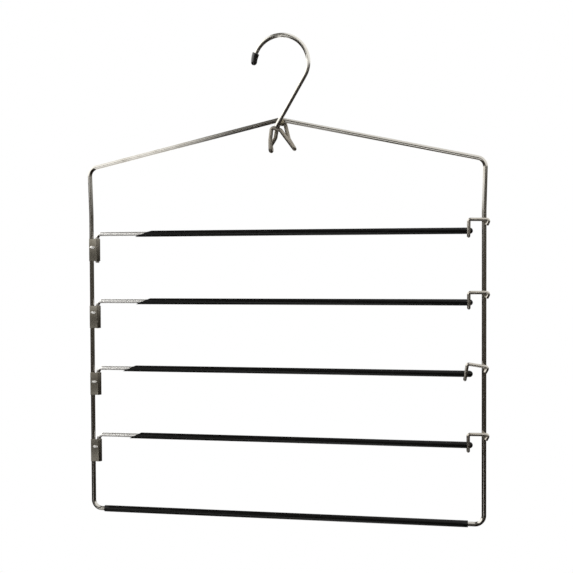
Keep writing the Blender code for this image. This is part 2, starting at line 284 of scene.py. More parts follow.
def bent_route(corners, bend_radii, closed=False):
    """A bent wire's centre line and its headings. Each corner is an arc that touches both
    runs: centre + radius * (-towards cos t + heading sin t), for t from 0 to the turn."""
    corners = np.asarray(corners, float)
    last = len(corners) - 1
    places, headings = [], []
    for index, corner in enumerate(corners):
        before, after = corners[index - 1], corners[(index + 1) % len(corners)]
        heading = unit(corner - before)
        onward = unit(after - corner)
        if not closed and index in (0, last):
            places.append(corner[None])
            headings.append((heading if index else onward)[None])
            continue
        turn = math.acos(float(np.clip(heading @ onward, -1, 1)))
        towards = unit(onward - (onward @ heading) * heading)
        radius = bend_radii[index]
        centre = corner - heading * radius * math.tan(turn / 2) + towards * radius
        t = np.linspace(0, turn, max(LEAST_BEND_RINGS, math.ceil(turn / BEND_STEP)))[:, None]
        places.append(centre + radius * (heading * np.sin(t) - towards * np.cos(t)))
        headings.append(heading * np.cos(t) + towards * np.sin(t))
    if closed:
        places.append(places[0][:1])
        headings.append(headings[0][:1])
    all_places, all_headings = [places[0]], [headings[0]]
    for start, end, ways in zip(places, places[1:], headings[1:]):
        gap = np.linalg.norm(end[0] - start[-1])
        steps = np.linspace(0, 1, max(2, math.ceil(gap / RUN_STEP)) + 1)[1:-1, None]
        all_places += [start[-1] + (end[0] - start[-1]) * steps, end]
        all_headings += [np.repeat(ways[:1], len(steps), 0), ways]
    route, way = np.concatenate(all_places), np.concatenate(all_headings)
    return (route[:-1], way[:-1]) if closed else (route, way)


def wire_rings(route, headings, radius, lean=(0, 1, 0), tips=None, sides=WIRE_SIDES):
    """Rings square to a route: place + radius * (across cos a + over sin a), where across
    is the lean made square to the heading and over is square to both. At a tip the edge is
    a quarter circle of the given radius."""
    route, headings = np.asarray(route, float), unit(np.asarray(headings, float))
    radii = np.full(len(route), float(radius))
    if tips is not None:
        for end, tip in zip((0, -1), tips):
            t = np.linspace(0, math.pi / 2, TIP_RINGS)
            inset = tip * (1 - np.sin(t))
            rounded = radius - tip + tip * np.cos(t)
            inward = headings[0] if end == 0 else -headings[-1]
            extra = route[end] + inward * inset[:, None]
            ways = np.repeat(headings[end][None], len(t), 0)
            if end == 0:
                keep = np.linalg.norm(route - route[0], axis=1) > tip
                route = np.concatenate([extra[::-1], route[keep]])
                headings = np.concatenate([ways, headings[keep]])
                radii = np.concatenate([rounded[::-1], radii[keep]])
            else:
                keep = np.linalg.norm(route - route[-1], axis=1) > tip
                route = np.concatenate([route[keep], extra])
                headings = np.concatenate([headings[keep], ways])
                radii = np.concatenate([radii[keep], rounded])
    lean = np.asarray(lean, float)
    across = unit(lean - (headings @ lean)[:, None] * headings)
    over = np.cross(headings, across)
    a = np.linspace(0, math.tau, sides, endpoint=False)
    spokes = (across[:, None] * np.cos(a)[None, :, None] + over[:, None] * np.sin(a)[None, :, None])
    return route[:, None] + spokes * radii[:, None, None]


def skin(name, rings, looped=False):
    """A closed mesh over rings of points: neighbours joined by quads, and the end rings
    closed by fans to their centres, or joined to each other on a loop. Its map holds the
    distance round the piece and the distance along it, both in metres."""
    rows, sides = rings.shape[:2]
    centres = rings.mean(1)
    round_length = np.linalg.norm(np.roll(rings, -1, 1) - rings, axis=2).sum(1).max()
    along = np.concatenate([[0], np.cumsum(np.linalg.norm(np.diff(centres, axis=0), axis=1))])
    row = np.arange(rows if looped else rows - 1)[:, None]
    column = np.arange(sides)[None, :]
    next_row, next_column = (row + 1) % rows, (column + 1) % sides
    quads = np.stack([row * sides + column, row * sides + next_column,
                      next_row * sides + next_column, next_row * sides + column], -1)
    around = column / sides * round_length + 0 * row
    step = round_length / sides
    onward = along[row] + 0 * column
    further = np.append(along, along[-1] + RUN_STEP)[row + 1] + 0 * column
    quad_map = np.stack([np.stack([around, onward], -1), np.stack([around + step, onward], -1),
                         np.stack([around + step, further], -1), np.stack([around, further], -1)], 2)
    spots = rings.reshape(-1, 3)
    corners = [quads.reshape(-1)]
    sizes = [np.full(quads.shape[0] * quads.shape[1], 4)]
    maps = [quad_map.reshape(-1, 2)]
    if not looped:
        pole = np.arange(sides)
        turned = (pole + 1) % sides
        first, last = len(spots), len(spots) + 1
        base = (rows - 1) * sides
        spots = np.concatenate([spots, centres[:1], centres[-1:]])
        near = np.stack([turned, pole, np.full(sides, first)], -1)
        far = np.stack([base + pole, base + turned, np.full(sides, last)], -1)
        for fan, height in ((near, along[0]), (far, along[-1])):
            corners.append(fan.reshape(-1))
            sizes.append(np.full(sides, 3))
            flat = np.stack([np.stack([pole * step, 0 * pole + height], -1)] * 3, 1)
            maps.append(flat.reshape(-1, 2))
    corners, sizes, maps = np.concatenate(corners), np.concatenate(sizes), np.concatenate(maps)
    starts = np.concatenate([[0], np.cumsum(sizes)[:-1]])
    mesh = bpy.data.meshes.new(name)
    mesh.vertices.add(len(spots))
    mesh.vertices.foreach_set("co", spots.astype(np.float32).reshape(-1))
    mesh.loops.add(len(corners))
    mesh.loops.foreach_set("vertex_index", corners.astype(np.int32))
    mesh.polygons.add(len(sizes))
    mesh.polygons.foreach_set("loop_start", starts.astype(np.int32))
    mesh.update(calc_edges=True)
    mesh.validate()
    flat_map = mesh.uv_layers.new(name="wrap")
    flat_map.data.foreach_set("uv", maps.astype(np.float32).reshape(-1))
    first_spots = spots[corners[starts]]
    second, third = spots[corners[starts + 1]], spots[corners[starts + 2]]
    fourth = spots[corners[starts + sizes - 1]]
    volume = (first_spots * np.cross(second, third)).sum()
    volume += (first_spots * np.cross(third, fourth)).sum()
    if volume < 0:
        mesh.flip_normals()
    mesh.shade_smooth()
    mesh.set_sharp_from_angle(angle=SHARP_ANGLE)
    made = bpy.data.objects.new(name, mesh)
    bpy.context.scene.collection.objects.link(made)
    return made


def mark_heat(piece, places, reach):
    """A mask on the points, exp(-(distance to the nearest weld / reach) squared)."""
    spots = np.zeros(len(piece.data.vertices) * 3, np.float32)
    piece.data.vertices.foreach_get("co", spots)
    apart = np.linalg.norm(spots.reshape(-1, 1, 3) - np.asarray(places, float)[None], axis=2).min(1)
    layer = piece.data.attributes.new("heat", "FLOAT", "POINT")
    layer.data.foreach_set("value", np.exp(-(apart / reach) ** 2).astype(np.float32))


def node(tree, kind, **settings):
    """A node of a kind, with its settings and the plain values of its named inputs."""
    made = tree.nodes.new(kind)
    for name, value in settings.items():
        if hasattr(made, name):
            setattr(made, name, value)
        else:
            made.inputs[name.replace("_", " ")].default_value = value
    return made


def new_group(name, inputs, outputs):
    """An empty shader group with named sockets."""
    group = bpy.data.node_groups.new(name, "ShaderNodeTree")
    for socket, kind in inputs:
        group.interface.new_socket(socket, in_out="INPUT", socket_type=kind)
    for socket, kind in outputs:
        group.interface.new_socket(socket, in_out="OUTPUT", socket_type=kind)
    return group, group.nodes.new("NodeGroupInput"), group.nodes.new("NodeGroupOutput")


# Plate wear, used on every plated piece: broad patches where the plate is duller, fine
# lines left along the wire by the drawing die, dust-fine specks, and the heat tint.
PATCH_RANGE = (0.45, 0.75)   # of the noise, from none to all
PATCH_SHARE = 0.55
PATCH_ROUGH = 0.06           # what a full mask adds to the roughness
SPECK_RANGE = (0.66, 0.74)
SPECK_SHARE = 0.20
SPECK_ROUGH = 0.08
SPECK_HEIGHT = 0.25
HEAT_ROUGH = 0.16
LINE_SCALE = (5200.0, 70.0, 1.0)

wear, given, result = new_group(
    "plate_wear",
    [("Plate", "NodeSocketColor"), ("Dull", "NodeSocketColor"), ("Tint", "NodeSocketColor"),
     ("Heat", "NodeSocketFloat"), ("Rough", "NodeSocketFloat"), ("Lines", "NodeSocketFloat")],
    [("Colour", "NodeSocketColor"), ("Roughness", "NodeSocketFloat"), ("Height", "NodeSocketFloat")])
spots_on_object = wear.nodes.new("ShaderNodeTexCoord")
patches = node(wear, "ShaderNodeTexNoise", Scale=55.0, Detail=3.0, Roughness=0.6)
wear.links.new(spots_on_object.outputs["Object"], patches.inputs["Vector"])
specks = node(wear, "ShaderNodeTexNoise", Scale=1500.0, Detail=2.0, Roughness=0.5)
wear.links.new(spots_on_object.outputs["Object"], specks.inputs["Vector"])
stretch = wear.nodes.new("ShaderNodeMapping")
stretch.inputs["Scale"].default_value = LINE_SCALE
wrap = node(wear, "ShaderNodeUVMap", uv_map="wrap")
wear.links.new(wrap.outputs["UV"], stretch.inputs["Vector"])
lines = node(wear, "ShaderNodeTexNoise", Scale=1.0, Detail=2.0, Roughness=0.5)
wear.links.new(stretch.outputs["Vector"], lines.inputs["Vector"])
patch_mask = ease(wear, patches.outputs["Fac"], *PATCH_RANGE)
speck_mask = ease(wear, specks.outputs["Fac"], *SPECK_RANGE)
colour = blend_colours(wear, maths(wear, "MULTIPLY", patch_mask, PATCH_SHARE),
                       given.outputs["Plate"], given.outputs["Dull"])
colour = blend_colours(wear, maths(wear, "MULTIPLY", speck_mask, SPECK_SHARE), colour,
                       given.outputs["Dull"])
colour = blend_colours(wear, given.outputs["Heat"], colour, given.outputs["Tint"])
wear.links.new(colour, result.inputs["Colour"])
rough = maths(wear, "ADD", given.outputs["Rough"], maths(wear, "MULTIPLY", patch_mask, PATCH_ROUGH))
rough = maths(wear, "ADD", rough, maths(wear, "MULTIPLY", speck_mask, SPECK_ROUGH))
rough = maths(wear, "ADD", rough, maths(wear, "MULTIPLY", given.outputs["Heat"], HEAT_ROUGH))
wear.links.new(rough, result.inputs["Roughness"])
rise = maths(wear, "MULTIPLY", lines.outputs["Fac"], given.outputs["Lines"])
rise = maths(wear, "ADD", rise, maths(wear, "MULTIPLY", specks.outputs["Fac"], SPECK_HEIGHT))
wear.links.new(rise, result.inputs["Height"])


def plated(name, plate, dull, rough, lines=0.6, bump=0.012):
    """Plated steel: the plate wear group feeds colour, roughness and a shallow bump. The
    drawing lines take their share of the bump, and rough is the clean plate's roughness."""
    made = bpy.data.materials.new(name)
    made.use_nodes = True
    tree = made.node_tree
    shader = tree.nodes["Principled BSDF"]
    shader.inputs["Metallic"].default_value = 1.0
    shader.inputs["Anisotropic"].default_value = DRAWN
    around = node(tree, "ShaderNodeTangent", direction_type="UV_MAP", uv_map="wrap")
    tree.links.new(around.outputs["Tangent"], shader.inputs["Tangent"])
    worn = tree.nodes.new("ShaderNodeGroup")
    worn.node_tree = wear
    worn.inputs["Plate"].default_value = (*plate, 1)
    worn.inputs["Dull"].default_value = (*dull, 1)
    worn.inputs["Tint"].default_value = (*HEAT_TINT, 1)
    worn.inputs["Rough"].default_value = rough
    worn.inputs["Lines"].default_value = lines
    heat = node(tree, "ShaderNodeAttribute", attribute_name="heat")
    tree.links.new(heat.outputs["Fac"], worn.inputs["Heat"])
    tree.links.new(worn.outputs["Colour"], shader.inputs["Base Color"])
    tree.links.new(worn.outputs["Roughness"], shader.inputs["Roughness"])
    relief = node(tree, "ShaderNodeBump", Strength=bump, Distance=RELIEF)
    tree.links.new(worn.outputs["Height"], relief.inputs["Height"])
    tree.links.new(relief.outputs["Normal"], shader.inputs["Normal"])
    made.diffuse_color = (*plate, 1)
    return made


low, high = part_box("frame")
FRAME_R = (high.y - low.y) / 2
FRAME_Y = (high.y + low.y) / 2
LEFT_X, RIGHT_X = FRAME_X - FRAME_WIDTH / 2, FRAME_X + FRAME_WIDTH / 2
BOTTOM_Z = low.z + FRAME_R
straight_from = APEX_Z - SHOULDER_DROP - SPLAY_LENGTH
corners = [(FRAME_X, FRAME_Y, APEX_Z),
           (RIGHT_X + SPLAY, FRAME_Y, APEX_Z - SHOULDER_DROP_RIGHT),
           (RIGHT_X, FRAME_Y, straight_from), (RIGHT_X, FRAME_Y, BOTTOM_Z),
           (LEFT_X, FRAME_Y, BOTTOM_Z), (LEFT_X, FRAME_Y, straight_from),
           (LEFT_X - SPLAY, FRAME_Y, APEX_Z - SHOULDER_DROP)]
bend_radii = [APEX_BEND_R, FRAME_BEND_R, SPLAY_BEND_R, FRAME_BEND_R, FRAME_BEND_R, SPLAY_BEND_R,
              FRAME_BEND_R]
route, ways = bent_route(corners, bend_radii, closed=True)
frame_loop = skin("frame_loop", wire_rings(route, ways, FRAME_R), looped=True)
frame_loop.data.materials.append(plated("bright_plate", PLATE, PLATE_DULL, rough=0.15))
tier_numbers = range(1, TIERS + 1)
frame_welds = [(FRAME_X, FRAME_Y, APEX_Z)]
for number in tier_numbers:
    low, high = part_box(f"hinge_knuckle_{number}")
    frame_welds.append((LEFT_X, FRAME_Y - FRAME_R, (low.z + high.z) / 2))
    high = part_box(f"latch_{number}")[1]
    frame_welds.append((RIGHT_X, FRAME_Y - FRAME_R, high.z - WELD_BELOW_TOP))
mark_heat(frame_loop, frame_welds, HEAT_REACH)
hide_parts("frame")
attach(frame_loop, "hanger_frame")


# Rail hook: plated wire bent to an arc with a straight shank that touches it. The shank
# crosses the front of the apex and is welded there.
HOOK_BEND_R = 0.026
HOOK_SWAY = 0.0007           # the arc's centre to the latch side of the crossing
SHANK_TAIL = 0.0088          # shank below the crossing
CUT_EDGE = 0.0004            # rounding of a cut and tumbled wire end
GAP = 0.0003                 # between a piece and the wire that carries it
CAP_END_ANGLE = math.radians(183)
CAP_END_WALL = 0.0015
ARC_RINGS = 90
SHANK_RINGS = 13
HOOK_PLATE = (0.73, 0.71, 0.66)
HOOK_PLATE_DULL = (0.62, 0.59, 0.53)

low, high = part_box("hook")
HOOK_R = (high.y - low.y) / 2
ARC_Z = HOOK_R - HOOK_BEND_R
hook_rise = ARC_Z - APEX_Z
tilt = math.asin(HOOK_BEND_R / math.hypot(HOOK_SWAY, hook_rise)) + math.atan2(HOOK_SWAY, hook_rise)
shank_way = np.array([math.sin(tilt), 0, math.cos(tilt)])
crossing = np.array([-HOOK_SWAY, 0, APEX_Z])
shank_end = crossing - shank_way * SHANK_TAIL
hook_end_angle = CAP_END_ANGLE - (CAP_END_WALL + GAP) / HOOK_BEND_R
t = np.linspace(-tilt, hook_end_angle, ARC_RINGS)[:, None]
arc_places = np.array([0, 0, ARC_Z]) + HOOK_BEND_R * np.hstack([np.cos(t), 0 * t, np.sin(t)])
arc_ways = np.hstack([-np.sin(t), 0 * t, np.cos(t)])
run = np.linspace(0, 1, SHANK_RINGS, endpoint=False)[:, None]
route = np.concatenate([shank_end + (arc_places[0] - shank_end) * run, arc_places])
ways = np.concatenate([np.repeat(shank_way[None], len(run), 0), arc_ways])
rail_hook = skin("rail_hook", wire_rings(route, ways, HOOK_R, tips=(CUT_EDGE, CUT_EDGE)))
rail_hook.data.materials.append(plated("hook_plate", HOOK_PLATE, HOOK_PLATE_DULL, rough=0.23))
mark_heat(rail_hook, [crossing], HEAT_REACH)
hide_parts("hook")
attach(rail_hook, "hanger_frame")


# Tip cap: a moulded black vinyl cap pushed on the hook's end, with a rolled mouth. It
# follows the hook's arc and ends in a blunt dome.
CAP_LENGTH = 0.0114
CAP_MOUTH_R = 0.0034
CAP_TIP_R = 0.0029
CAP_EDGE = 0.0005
CAP_SIDES = 48
CAP_RINGS = 20
CAP_EDGE_RINGS = 8
CLOSING_SHARE = 0.5          # radius of the first ring inside a closed bore
SLEEVE_SIDES = 64
VINYL = (0.0014, 0.0014, 0.0012)
VINYL_DUSTY = (0.006, 0.006, 0.005)
SMEAR_RANGE = (0.5, 0.8)     # of the noise, from none to all
SMEAR_SHARE = 0.35
FLECK_RANGE = (0.72, 0.78)
FLECK_SHARE = 0.5
DUST_ROUGH = 0.4             # what a full mask adds to the roughness
DIE_LINE_SCALE = (2400.0, 22.0, 1.0)
DIE_LINE_HEIGHT = 0.6
PEBBLE_HEIGHT = 0.4


def turned_rings(lengths, radii, sides=SLEEVE_SIDES):
    """A profile turned round X: (length, radius cos a, radius sin a)."""
    a = np.linspace(0, math.tau, sides, endpoint=False)
    lengths, radii = np.asarray(lengths, float)[:, None], np.asarray(radii, float)[:, None]
    return np.stack([lengths + 0 * a, radii * np.cos(a), radii * np.sin(a)], -1)


def quarter(count):
    """Sines and cosines of a quarter turn, for rounded edges and domes."""
    t = np.linspace(0, math.pi / 2, count)
    return np.sin(t), np.cos(t)


vinyl_skin, given, result = new_group(
    "vinyl_skin",
    [("Base", "NodeSocketColor"), ("Dust", "NodeSocketColor"), ("Rough", "NodeSocketFloat")],
    [("Colour", "NodeSocketColor"), ("Roughness", "NodeSocketFloat"), ("Height", "NodeSocketFloat")])
spots_on_object = vinyl_skin.nodes.new("ShaderNodeTexCoord")
smears = node(vinyl_skin, "ShaderNodeTexNoise", Scale=90.0, Detail=4.0, Roughness=0.65)
vinyl_skin.links.new(spots_on_object.outputs["Object"], smears.inputs["Vector"])
pebble = node(vinyl_skin, "ShaderNodeTexNoise", Scale=2600.0, Detail=2.0, Roughness=0.5)
vinyl_skin.links.new(spots_on_object.outputs["Object"], pebble.inputs["Vector"])
stretch = vinyl_skin.nodes.new("ShaderNodeMapping")
stretch.inputs["Scale"].default_value = DIE_LINE_SCALE
wrap = node(vinyl_skin, "ShaderNodeUVMap", uv_map="wrap")
vinyl_skin.links.new(wrap.outputs["UV"], stretch.inputs["Vector"])
die_lines = node(vinyl_skin, "ShaderNodeTexNoise", Scale=1.0, Detail=2.0, Roughness=0.5)
vinyl_skin.links.new(stretch.outputs["Vector"], die_lines.inputs["Vector"])
smear_mask = ease(vinyl_skin, smears.outputs["Fac"], *SMEAR_RANGE)
fleck_mask = ease(vinyl_skin, pebble.outputs["Fac"], *FLECK_RANGE)
dust_mask = maths(vinyl_skin, "MAXIMUM", maths(vinyl_skin, "MULTIPLY", smear_mask, SMEAR_SHARE),
                  maths(vinyl_skin, "MULTIPLY", fleck_mask, FLECK_SHARE))
colour = blend_colours(vinyl_skin, dust_mask, given.outputs["Base"], given.outputs["Dust"])
vinyl_skin.links.new(colour, result.inputs["Colour"])
rough = maths(vinyl_skin, "ADD", given.outputs["Rough"],
              maths(vinyl_skin, "MULTIPLY", dust_mask, DUST_ROUGH))
vinyl_skin.links.new(rough, result.inputs["Roughness"])
rise = maths(vinyl_skin, "ADD", maths(vinyl_skin, "MULTIPLY", die_lines.outputs["Fac"], DIE_LINE_HEIGHT),
             maths(vinyl_skin, "MULTIPLY", pebble.outputs["Fac"], PEBBLE_HEIGHT))
vinyl_skin.links.new(rise, result.inputs["Height"])


def moulded(name, base, dusty, rough, grain, specular):
    """Black vinyl: a soft gloss, faint lines along the tube, dust and a fine grain."""
    made = bpy.data.materials.new(name)
    made.use_nodes = True
    tree = made.node_tree
    shader = tree.nodes["Principled BSDF"]
    shader.inputs["Specular IOR Level"].default_value = specular
    cloudy = tree.nodes.new("ShaderNodeGroup")
    cloudy.node_tree = vinyl_skin
    cloudy.inputs["Base"].default_value = (*base, 1)
    cloudy.inputs["Dust"].default_value = (*dusty, 1)
    cloudy.inputs["Rough"].default_value = rough
    tree.links.new(cloudy.outputs["Colour"], shader.inputs["Base Color"])
    tree.links.new(cloudy.outputs["Roughness"], shader.inputs["Roughness"])
    relief = node(tree, "ShaderNodeBump", Strength=grain, Distance=RELIEF)
    tree.links.new(cloudy.outputs["Height"], relief.inputs["Height"])
    tree.links.new(relief.outputs["Normal"], shader.inputs["Normal"])
    made.diffuse_color = (*base, 1)
    return made


sine, cosine = quarter(CAP_EDGE_RINGS)
taper = np.linspace(0, 1, CAP_RINGS)
body_end = CAP_LENGTH - CAP_TIP_R
outer_x = CAP_EDGE + (body_end - CAP_EDGE) * taper
outer_r = CAP_MOUTH_R + (CAP_TIP_R - CAP_MOUTH_R) * taper
bore = HOOK_R + GAP
bore_end = CAP_LENGTH - CAP_END_WALL
lengths = np.concatenate([
    [bore_end], bore_end + (CAP_EDGE - bore_end) * taper, CAP_EDGE * (1 - sine)[1:],
    (CAP_EDGE * (1 - sine))[::-1], outer_x[1:], (body_end + CAP_TIP_R * sine)[1:-1]])
radii = np.concatenate([
    [bore * CLOSING_SHARE], np.full(CAP_RINGS, bore), (bore + CAP_EDGE * (1 - cosine))[1:],
    (CAP_MOUTH_R - CAP_EDGE * (1 - cosine))[::-1], outer_r[1:], (CAP_TIP_R * cosine)[1:-1]])
rings = turned_rings(lengths, radii, CAP_SIDES)
angle = CAP_END_ANGLE - CAP_LENGTH / HOOK_BEND_R + rings[..., 0] / HOOK_BEND_R
reach = HOOK_BEND_R + rings[..., 2]
rings = np.stack([reach * np.cos(angle), rings[..., 1], ARC_Z + reach * np.sin(angle)], -1)
hook_end_cap = skin("hook_end_cap", rings)
hook_end_cap.data.materials.append(moulded("cap_vinyl", VINYL, VINYL_DUSTY, rough=0.24, grain=0.08,
                                           specular=1.0))
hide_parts("hook_tip_cap")
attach(hook_end_cap, "hanger_frame")


# Belt loops: one length of plated wire bent like a bow. Its two ends are welded behind the
# apex, and the bar between its front strands is welded behind the shank's tail.
LOOP_R = 0.0019
LOOP_DROP = 0.0294           # apex down to the lowest bends
LOOP_BEND_R = 0.0022
LOOP_END_SPACING = 0.0042    # between the two ends, which stand side by side
LOOP_LEAN = (0.75, -0.35, 0.55)      # along none of the strands
LOOP_PLATE = (0.37, 0.34, 0.29)
LOOP_PLATE_DULL = (0.24, 0.21, 0.17)

# Corners of the bow between its two ends: x and z as shares of LOOP_DROP, and y as a share
# of the way from the front strands to the back ones
LOOP_CORNER_SHARES = (
    (-0.147, 1.0, -0.320),
    (-0.190, 1.0, -0.573),
    (-0.340, 1.0, -0.810),
    (-0.307, 1.0, -1.0),
    (-0.327, 0.0, -1.0),
    (-0.330, 0.0, -0.650),
    (-0.280, 0.0, -0.243),
    (0.010, 0.0, -0.340),
    (0.165, 0.0, -0.553),
    (0.457, 0.0, -0.947),
    (0.450, 1.0, -0.947),
    (0.253, 1.0, -0.620),
)

low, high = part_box("belt_loops")
loop_front, loop_back = low.y + LOOP_R, high.y - LOOP_R
left_end_x, right_end_x = crossing[0] - LOOP_END_SPACING / 2, crossing[0] + LOOP_END_SPACING / 2
end_z = APEX_Z - (right_end_x - FRAME_X) * 2 * SHOULDER_DROP / FRAME_WIDTH
left_end, right_end = (left_end_x, loop_back, end_z), (right_end_x, loop_back, end_z)
corners = [left_end]
corners += [(FRAME_X + across * LOOP_DROP, loop_front + depth * (loop_back - loop_front),
             APEX_Z + up * LOOP_DROP) for across, depth, up in LOOP_CORNER_SHARES]
corners += [right_end]
route, ways = bent_route(corners, [LOOP_BEND_R] * len(corners))
belt_bow = skin("belt_bow", wire_rings(route, ways, LOOP_R, lean=LOOP_LEAN, tips=(CUT_EDGE, CUT_EDGE)))
belt_bow.data.materials.append(plated("loop_plate", LOOP_PLATE, LOOP_PLATE_DULL, rough=0.42))
mark_heat(belt_bow, [left_end, right_end, tuple(shank_end + shank_way * HOOK_R)], HEAT_REACH)
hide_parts("belt_loops")
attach(belt_bow, "hanger_frame")


# Bottom sleeve: a plain black vinyl tube slid on the bottom bar before the loop was
# closed. Both ends are cut square, with a soft edge.
SLEEVE_EDGE = 0.0002
TUBE_RINGS = 62              # between the edges, outside and in the bore
TUBE_EDGE_RINGS = 4

vinyl = moulded("sleeve_vinyl", VINYL, VINYL_DUSTY, rough=0.22, grain=0.05, specular=0.26)
low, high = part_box("bottom_sleeve")
outer, bore = (high.y - low.y) / 2, FRAME_R + GAP
stations = np.linspace(low.x + SLEEVE_EDGE, high.x - SLEEVE_EDGE, TUBE_RINGS + 2)[1:-1]
sine, cosine = quarter(TUBE_EDGE_RINGS)
to_low, to_high = low.x + SLEEVE_EDGE * (1 - sine), high.x - SLEEVE_EDGE * (1 - sine)
outer_edge, bore_edge = outer - SLEEVE_EDGE * (1 - cosine), bore + SLEEVE_EDGE * (1 - cosine)
lengths = np.concatenate([to_low[::-1], stations, to_high, to_high[::-1], stations[::-1], to_low])
radii = np.concatenate([outer_edge[::-1], np.full(TUBE_RINGS, outer), outer_edge, bore_edge[::-1],
                        np.full(TUBE_RINGS, bore), bore_edge])
rings = turned_rings(lengths, radii) + np.array([0, FRAME_Y, BOTTOM_Z])
bottom_grip = skin("bottom_grip", rings, looped=True)
bottom_grip.data.materials.append(vinyl)
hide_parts("bottom_sleeve")
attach(bottom_grip, "hanger_frame")


# Arms: plated wire with one end bent down as the hinge's pin, and a black vinyl sleeve
# pushed on from the free end, cut at a slant where it starts and closed at its tip.
ARM_BEND_R = 0.004
ARM_BARE = 0.0389            # bare wire from the hinge's axis to the top arm's lip
BARE_SHARES = (1.0, 1.01, 0.65, 0.81)
MITRE_LENGTH = 0.017         # of the slanted cut on the top arm
MITRE_SHARES = (1.0, 0.87, 0.79, 0.72)
SLEEVE_END_WALL = 0.0012
PIN_EDGE = 0.0012            # the pin's end is rounded over
SLEEVE_RINGS = 55
SLEEVE_EDGE_RINGS = 5
DOME_RINGS = 12
CROWDING = 1.4               # rings stand closer towards the slanted cut
# The bare arm wire's near-white colour is partly its brighter plating and partly a painted pale
# reflection on the bare stubs.
ARM_PLATE_WITH_PAINTED_REFLECTION = (0.95, 0.94, 0.92)
ARM_PLATE_WITH_PAINTED_REFLECTION_DULL = (0.84, 0.83, 0.80)


def arm_pin(number):
    """Where an arm's hinge axis meets the axis of its wire."""
    joint = next(one for one in frame["joints"] if one["child"] == f"arm_{number}")
    return np.array(joint["pos_m"], float)


arm_plate = plated("arm_plate", ARM_PLATE_WITH_PAINTED_REFLECTION, ARM_PLATE_WITH_PAINTED_REFLECTION_DULL, rough=0.26, lines=0.2, bump=0.004)
for number in tier_numbers:
    body, pin = f"arm_{number}", arm_pin(number)
    low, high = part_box(f"arm_wire_{number}")
    radius = (high.y - low.y) / 2
    corners = [(pin[0], pin[1], low.z), tuple(pin), (high.x, pin[1], pin[2])]
    route, ways = bent_route(corners, [ARM_BEND_R] * 3)
    arm_rod = skin(f"arm_rod_{number}", wire_rings(route, ways, radius, tips=(PIN_EDGE, CUT_EDGE)))
    arm_rod.data.materials.append(arm_plate)
    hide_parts(f"arm_wire_{number}")
    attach(arm_rod, body)

    low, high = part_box(f"arm_sleeve_{number}")
    outer, bore = (high.y - low.y) / 2, radius + GAP
    lip = ARM_BARE * BARE_SHARES[number - 1]
    mitre = MITRE_LENGTH * MITRE_SHARES[number - 1]
    tip, bore_end = high.x - pin[0], high.x - pin[0] - SLEEVE_END_WALL
    square_from = lip + mitre + outer
    sine, cosine = quarter(SLEEVE_EDGE_RINGS)
    dome_sine, dome_cosine = quarter(DOME_RINGS)
    run = np.linspace(0, 1, SLEEVE_RINGS + 1)
    inward = bore_end + (lip + SLEEVE_EDGE - bore_end) * (1 - (1 - run) ** CROWDING)
    outward = lip + SLEEVE_EDGE + (tip - outer - lip - SLEEVE_EDGE) * run ** CROWDING
    to_lip = lip + SLEEVE_EDGE * (1 - sine)
    lengths = np.concatenate([[bore_end], inward[:-1], to_lip, to_lip[::-1], outward[1:],
                              (tip - outer + outer * dome_sine)[1:-1]])
    radii = np.concatenate([
        [bore * CLOSING_SHARE], np.full(SLEEVE_RINGS, bore), bore + SLEEVE_EDGE * (1 - cosine),
        (outer - SLEEVE_EDGE * (1 - cosine))[::-1], np.full(SLEEVE_RINGS, outer),
        (outer * dome_cosine)[1:-1]])
    rings = turned_rings(lengths, radii)
    fade = np.clip((square_from - rings[..., 0]) / (square_from - lip), 0, 1)
    rings[..., 0] += fade * mitre * (rings[..., 2] + outer) / (2 * outer)
    arm_grip = skin(f"arm_grip_{number}", rings + pin)
    arm_grip.data.materials.append(vinyl)
    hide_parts(f"arm_sleeve_{number}")
    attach(arm_grip, body)


# Hinge knuckles: sheet steel rolled round each arm's pin, with a flange laid over the
# front of the upright and held there by one spot weld.
KNUCKLE_SHEET = 0.0005
SHEET_EDGE = 0.00015
SHEET_EDGE_RINGS = 5
ROLL_END = math.radians(215)
ROLL_RINGS = 70
FLANGE_RINGS = 9
KNUCKLE_STEEL = (0.28, 0.26, 0.22)
KNUCKLE_STEEL_DULL = (0.16, 0.14, 0.10)

knuckle_steel = plated("knuckle_steel", KNUCKLE_STEEL, KNUCKLE_STEEL_DULL, rough=0.27, lines=0.3,
                       bump=0.10)
for number in tier_numbers:
    low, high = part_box(f"hinge_knuckle_{number}")
    pin = arm_pin(number)
    middle_r = high.x - pin[0] - KNUCKLE_SHEET / 2
    t = np.linspace(-math.pi / 2, ROLL_END, ROLL_RINGS)[:, None]
    roll = np.hstack([middle_r * np.cos(t), middle_r * np.sin(t)])
    roll_ways = np.hstack([-np.sin(t), np.cos(t)])
    flange = np.linspace(low.x - pin[0], 0, FLANGE_RINGS, endpoint=False)[:, None]
    route = np.concatenate([np.hstack([flange, 0 * flange - middle_r]), roll])
    ways = np.concatenate([np.hstack([1 + 0 * flange, 0 * flange]), roll_ways])
    normals = np.stack([ways[:, 1], -ways[:, 0]], 1)
    half = (high.z - low.z) / 2 - SHEET_EDGE
    sine, cosine = quarter(SHEET_EDGE_RINGS)
    arc = SHEET_EDGE * np.stack([cosine, sine], 1)
    thick = KNUCKLE_SHEET / 2 - SHEET_EDGE
    profile = np.concatenate([
        arc + (thick, half), (arc * (-1, 1))[::-1] + (-thick, half),
        arc * (-1, -1) + (-thick, -half), (arc * (1, -1))[::-1] + (thick, -half)])
    rings = (np.concatenate([route, 0 * route[:, :1]], 1)[:, None]
             + np.concatenate([normals, 0 * normals[:, :1]], 1)[:, None] * profile[None, :, :1]
             + np.array([0, 0, 1]) * profile[None, :, 1:])
    place = np.array([pin[0], pin[1], (low.z + high.z) / 2])
    knuckle = skin(f"knuckle_{number}", rings + place)
    knuckle.data.materials.append(knuckle_steel)
    mark_heat(knuckle, [(LEFT_X + FRAME_R, low.y, place[2])], HEAT_REACH)
    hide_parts(f"hinge_knuckle_{number}")
    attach(knuckle, "hanger_frame")


